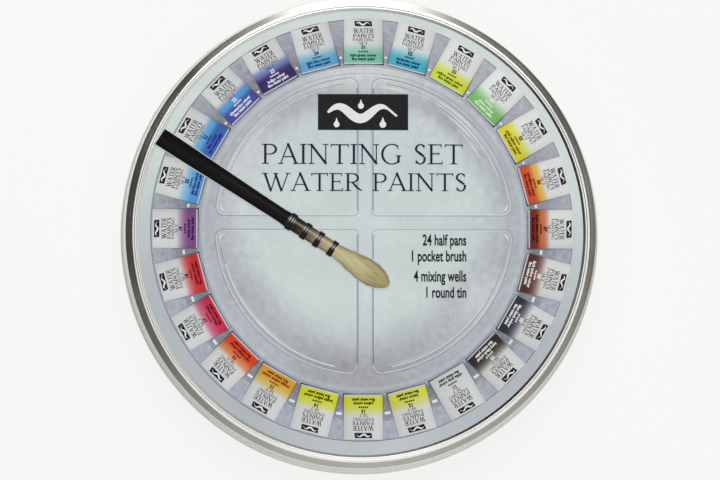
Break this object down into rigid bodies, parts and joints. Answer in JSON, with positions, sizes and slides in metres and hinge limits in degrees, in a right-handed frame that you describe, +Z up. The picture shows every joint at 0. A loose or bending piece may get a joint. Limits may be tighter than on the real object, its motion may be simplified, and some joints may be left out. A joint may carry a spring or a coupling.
{
  "type": "watercolor pan set",
  "caption": "Round flat tin with a printed lift-off lid over a ring of wrapped watercolour half pans, four mixing wells and a short quill mop brush.",
  "frame": {"origin": "centre of the flat underside that the tin stands on", "axes": "+Z up through the lid, +Y towards the top of the lid's picture, +X towards its right"},
  "size_m": [0.202, 0.202, 0.024],
  "materials": {
    "tinplate": "bright tinplate, lightly brushed",
    "printed_tinplate": "bright tinplate with a printed, varnished panel",
    "tray_plastic": "glossy thermoformed white plastic sheet",
    "pan_plastic": "moulded white plastic",
    "wrapper_paper": "printed paper sleeve round each half pan",
    "black_lacquer": "glossy black lacquered wood",
    "quill": "clear honey-coloured quill",
    "binding_wire": "bright brass wire",
    "goat_hair": "soft tan-olive hair",
    "paint_mint_green": "dry watercolour cake",
    "paint_turquoise": "dry watercolour cake",
    "paint_yellow_green": "dry watercolour cake",
    "paint_green": "dry watercolour cake",
    "paint_gold_yellow": "dry watercolour cake",
    "paint_vermilion": "dry watercolour cake",
    "paint_burnt_sienna": "dry watercolour cake",
    "paint_dark_umber": "dry watercolour cake",
    "paint_blue_black": "dry watercolour cake",
    "paint_ivory_black": "dry watercolour cake",
    "paint_white_grey": "dry watercolour cake",
    "paint_lemon": "dry watercolour cake",
    "paint_yellow": "dry watercolour cake",
    "paint_bright_yellow": "dry watercolour cake",
    "paint_orange_yellow": "dry watercolour cake",
    "paint_red_orange": "dry watercolour cake",
    "paint_crimson": "dry watercolour cake",
    "paint_carmine": "dry watercolour cake",
    "paint_violet": "dry watercolour cake",
    "paint_sky_blue": "dry watercolour cake",
    "paint_blue": "dry watercolour cake",
    "paint_ultramarine": "dry watercolour cake",
    "paint_indigo": "dry watercolour cake",
    "paint_light_blue": "dry watercolour cake"
  },
  "bodies": {
    "base": {"tin_base": "tinplate"},
    "lid": {"tin_lid": "printed_tinplate"},
    "tray": {"pan_tray": "tray_plastic"},
    "brush": {"brush_handle": "black_lacquer", "brush_quill": "quill", "binding_wire_1": "binding_wire", "binding_wire_2": "binding_wire", "binding_wire_3": "binding_wire", "binding_wire_4": "binding_wire", "brush_hair": "goat_hair"},
    "pan_01": {"pan_cup_01": "pan_plastic", "paint_cake_01": "paint_mint_green"},
    "pan_02": {"pan_cup_02": "pan_plastic", "paint_cake_02": "paint_turquoise"},
    "pan_03": {"pan_cup_03": "pan_plastic", "paint_cake_03": "paint_yellow_green"},
    "pan_04": {"pan_cup_04": "pan_plastic", "paint_cake_04": "paint_green"},
    "pan_05": {"pan_cup_05": "pan_plastic", "paint_cake_05": "paint_gold_yellow"},
    "pan_06": {"pan_cup_06": "pan_plastic", "paint_cake_06": "paint_vermilion"},
    "pan_07": {"pan_cup_07": "pan_plastic", "paint_cake_07": "paint_burnt_sienna"},
    "pan_08": {"pan_cup_08": "pan_plastic", "paint_cake_08": "paint_dark_umber"},
    "pan_09": {"pan_cup_09": "pan_plastic", "paint_cake_09": "paint_blue_black"},
    "pan_10": {"pan_cup_10": "pan_plastic", "paint_cake_10": "paint_ivory_black"},
    "pan_11": {"pan_cup_11": "pan_plastic", "paint_cake_11": "paint_white_grey"},
    "pan_12": {"pan_cup_12": "pan_plastic", "paint_cake_12": "paint_lemon"},
    "pan_13": {"pan_cup_13": "pan_plastic", "paint_cake_13": "paint_yellow"},
    "pan_14": {"pan_cup_14": "pan_plastic", "paint_cake_14": "paint_bright_yellow"},
    "pan_15": {"pan_cup_15": "pan_plastic", "paint_cake_15": "paint_orange_yellow"},
    "pan_16": {"pan_cup_16": "pan_plastic", "paint_cake_16": "paint_red_orange"},
    "pan_17": {"pan_cup_17": "pan_plastic", "paint_cake_17": "paint_crimson"},
    "pan_18": {"pan_cup_18": "pan_plastic", "paint_cake_18": "paint_carmine"},
    "pan_19": {"pan_cup_19": "pan_plastic", "paint_cake_19": "paint_violet"},
    "pan_20": {"pan_cup_20": "pan_plastic", "paint_cake_20": "paint_sky_blue"},
    "pan_21": {"pan_cup_21": "pan_plastic", "paint_cake_21": "paint_blue"},
    "pan_22": {"pan_cup_22": "pan_plastic", "paint_cake_22": "paint_ultramarine"},
    "pan_23": {"pan_cup_23": "pan_plastic", "paint_cake_23": "paint_indigo"},
    "pan_24": {"pan_cup_24": "pan_plastic", "paint_cake_24": "paint_light_blue"}
  },
  "joints": [
    {"name": "lid_turn_over", "type": "hinge", "parent": "base", "child": "lid", "pos_m": [0.101, 0, 0.0121], "axis": [0, 1, 0], "range_deg": [0, 180]},
    {"name": "tray_lift", "type": "slide", "parent": "base", "child": "tray", "axis": [0, 0, 1], "range_m": [0, 0.0045]},
    {"name": "brush_lift", "type": "slide", "parent": "tray", "child": "brush", "axis": [0, 0, 1], "range_m": [0, 0.0045]},
    {"name": "pan_01_lift", "type": "slide", "parent": "tray", "child": "pan_01", "axis": [0, 0, 1], "range_m": [0, 0.009]},
    {"name": "pan_02_lift", "type": "slide", "parent": "tray", "child": "pan_02", "axis": [0, 0, 1], "range_m": [0, 0.009]},
    {"name": "pan_03_lift", "type": "slide", "parent": "tray", "child": "pan_03", "axis": [0, 0, 1], "range_m": [0, 0.009]},
    {"name": "pan_04_lift", "type": "slide", "parent": "tray", "child": "pan_04", "axis": [0, 0, 1], "range_m": [0, 0.009]},
    {"name": "pan_05_lift", "type": "slide", "parent": "tray", "child": "pan_05", "axis": [0, 0, 1], "range_m": [0, 0.009]},
    {"name": "pan_06_lift", "type": "slide", "parent": "tray", "child": "pan_06", "axis": [0, 0, 1], "range_m": [0, 0.009]},
    {"name": "pan_07_lift", "type": "slide", "parent": "tray", "child": "pan_07", "axis": [0, 0, 1], "range_m": [0, 0.009]},
    {"name": "pan_08_lift", "type": "slide", "parent": "tray", "child": "pan_08", "axis": [0, 0, 1], "range_m": [0, 0.009]},
    {"name": "pan_09_lift", "type": "slide", "parent": "tray", "child": "pan_09", "axis": [0, 0, 1], "range_m": [0, 0.009]},
    {"name": "pan_10_lift", "type": "slide", "parent": "tray", "child": "pan_10", "axis": [0, 0, 1], "range_m": [0, 0.009]},
    {"name": "pan_11_lift", "type": "slide", "parent": "tray", "child": "pan_11", "axis": [0, 0, 1], "range_m": [0, 0.009]},
    {"name": "pan_12_lift", "type": "slide", "parent": "tray", "child": "pan_12", "axis": [0, 0, 1], "range_m": [0, 0.009]},
    {"name": "pan_13_lift", "type": "slide", "parent": "tray", "child": "pan_13", "axis": [0, 0, 1], "range_m": [0, 0.009]},
    {"name": "pan_14_lift", "type": "slide", "parent": "tray", "child": "pan_14", "axis": [0, 0, 1], "range_m": [0, 0.009]},
    {"name": "pan_15_lift", "type": "slide", "parent": "tray", "child": "pan_15", "axis": [0, 0, 1], "range_m": [0, 0.009]},
    {"name": "pan_16_lift", "type": "slide", "parent": "tray", "child": "pan_16", "axis": [0, 0, 1], "range_m": [0, 0.009]},
    {"name": "pan_17_lift", "type": "slide", "parent": "tray", "child": "pan_17", "axis": [0, 0, 1], "range_m": [0, 0.009]},
    {"name": "pan_18_lift", "type": "slide", "parent": "tray", "child": "pan_18", "axis": [0, 0, 1], "range_m": [0, 0.009]},
    {"name": "pan_19_lift", "type": "slide", "parent": "tray", "child": "pan_19", "axis": [0, 0, 1], "range_m": [0, 0.009]},
    {"name": "pan_20_lift", "type": "slide", "parent": "tray", "child": "pan_20", "axis": [0, 0, 1], "range_m": [0, 0.009]},
    {"name": "pan_21_lift", "type": "slide", "parent": "tray", "child": "pan_21", "axis": [0, 0, 1], "range_m": [0, 0.009]},
    {"name": "pan_22_lift", "type": "slide", "parent": "tray", "child": "pan_22", "axis": [0, 0, 1], "range_m": [0, 0.009]},
    {"name": "pan_23_lift", "type": "slide", "parent": "tray", "child": "pan_23", "axis": [0, 0, 1], "range_m": [0, 0.009]},
    {"name": "pan_24_lift", "type": "slide", "parent": "tray", "child": "pan_24", "axis": [0, 0, 1], "range_m": [0, 0.009]}
  ]
}
